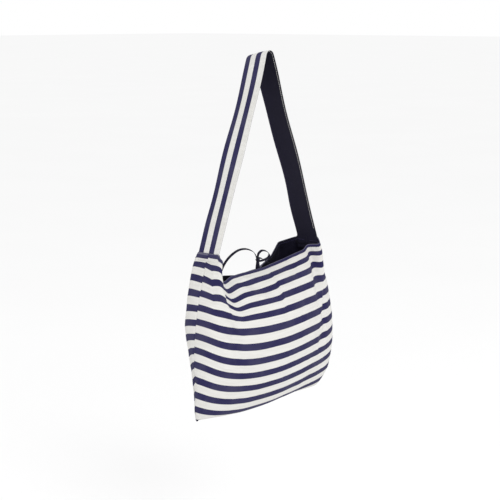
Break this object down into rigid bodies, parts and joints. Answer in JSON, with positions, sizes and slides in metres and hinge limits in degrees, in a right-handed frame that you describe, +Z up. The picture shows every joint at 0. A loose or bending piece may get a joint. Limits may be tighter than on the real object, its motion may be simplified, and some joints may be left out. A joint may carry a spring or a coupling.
{
  "type": "shoulder bag",
  "caption": "Lined canvas shoulder bag with horizontal stripes, a wide one-piece strap over both side seams and a ribbon tie at the mouth.",
  "frame": {"origin": "on the axis of the bend that the strap makes over its peg, at the middle of the strap's width", "axes": "+X across the bag from its left side seam to its right one, -Y out of its front, +Z up"},
  "size_m": [0.3558, 0.144, 0.6505],
  "materials": {
    "canvas": "woven cotton canvas, navy and off-white stripes",
    "lining": "plain dark navy cotton",
    "turned_edge": "turned-in canvas edges",
    "thread": "cotton sewing thread",
    "strap_canvas": "woven cotton canvas, lengthwise stripes",
    "strap_cotton": "plain dark navy cotton",
    "ribbon": "narrow dark navy cotton ribbon"
  },
  "bodies": {
    "strap": {"strap_outer": "strap_canvas", "strap_lining": "strap_cotton", "strap_front_stitching": "thread", "strap_back_stitching": "thread"},
    "bag": {"front_panel": "canvas", "back_panel": "canvas", "front_lining": "lining", "back_lining": "lining", "left_side_seam": "turned_edge", "right_side_seam": "turned_edge", "bottom_seam": "turned_edge", "front_mouth_stitching": "thread", "back_mouth_stitching": "thread", "left_strap_end": "strap_cotton", "right_strap_end": "strap_cotton", "left_strap_tack": "thread", "right_strap_tack": "thread", "front_tie": "ribbon", "back_tie": "ribbon", "bow_knot": "ribbon"}
  },
  "joints": [
    {"name": "bag_swing", "type": "hinge", "parent": "strap", "child": "bag", "pos_m": [0, 0, -0.338], "axis": [1, 0, 0], "range_deg": [-80, 80]}
  ]
}
